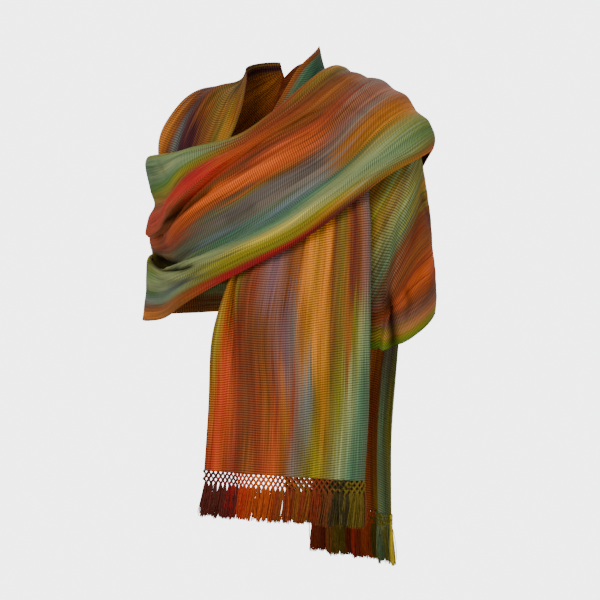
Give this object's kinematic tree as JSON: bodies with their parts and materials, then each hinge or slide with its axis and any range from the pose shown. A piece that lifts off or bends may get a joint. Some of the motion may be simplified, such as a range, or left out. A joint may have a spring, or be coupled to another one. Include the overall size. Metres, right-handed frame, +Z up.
{
  "type": "worn handwoven shawl",
  "caption": "Long striped handwoven shawl in its worn form: round the neck and shoulders, up across the chest, hanging down front and back to knotted fringes.",
  "frame": {"origin": "middle of the base of the neck, where the shawl is held up", "axes": "+X to the wearer's left, +Y to the wearer's back, +Z up"},
  "size_m": [0.5015, 0.303, 0.765],
  "materials": {
    "front_fall_cloth": "handwoven warp stripes with fine cross ribs, soft and matt with a slight sheen",
    "left_shoulder_cloth": "handwoven warp stripes with fine cross ribs, soft and matt with a slight sheen",
    "left_sleeve_cloth": "handwoven warp stripes with fine cross ribs, soft and matt with a slight sheen",
    "back_stretch_cloth": "handwoven warp stripes with fine cross ribs, soft and matt with a slight sheen",
    "right_shoulder_cloth": "handwoven warp stripes with fine cross ribs, soft and matt with a slight sheen",
    "chest_band_cloth": "handwoven warp stripes with fine cross ribs, soft and matt with a slight sheen",
    "back_fall_cloth": "handwoven warp stripes with fine cross ribs, soft and matt with a slight sheen",
    "front_fringe_yarn": "knotted net and loose warp yarn, matt",
    "back_fringe_yarn": "knotted net and loose warp yarn, matt"
  },
  "bodies": {
    "root": {"front_fall": "front_fall_cloth", "left_shoulder": "left_shoulder_cloth", "left_sleeve": "left_sleeve_cloth", "back_stretch": "back_stretch_cloth", "right_shoulder": "right_shoulder_cloth", "chest_band": "chest_band_cloth", "back_fall": "back_fall_cloth", "front_fringe": "front_fringe_yarn", "back_fringe": "back_fringe_yarn"}
  },
  "joints": []
}
